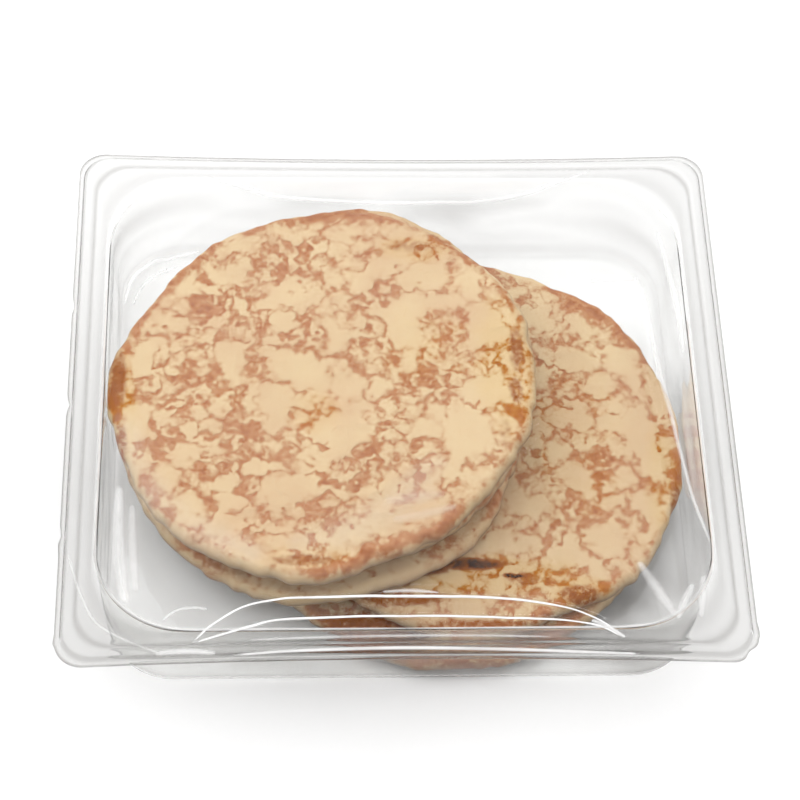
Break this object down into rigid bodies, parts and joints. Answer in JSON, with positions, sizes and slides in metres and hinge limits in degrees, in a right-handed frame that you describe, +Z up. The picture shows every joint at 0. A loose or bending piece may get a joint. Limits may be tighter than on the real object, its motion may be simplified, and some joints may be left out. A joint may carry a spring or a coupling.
{
  "type": "tray pack of blini",
  "caption": "Sealed clear tray pack of round flat blini, two overlapping piles under a drawn-in clear film.",
  "frame": {"origin": "middle of the underside of the tray, on the surface it stands on", "axes": "+Z up, +X along the tray's long side, -Y towards the side that the picture shows in front"},
  "size_m": [0.19, 0.1714, 0.0366],
  "materials": {
    "tray": "clear formed plastic, very pale green at the edges",
    "film": "clear glossy lidding film, faintly hazy",
    "blini": "baked batter, pale cream with a browned lacy top"
  },
  "bodies": {
    "root": {"tray": "tray", "film": "film", "blini_right_lower": "blini", "blini_right_upper": "blini", "blini_left_lower": "blini", "blini_left_middle": "blini", "blini_left_upper": "blini"}
  },
  "joints": []
}
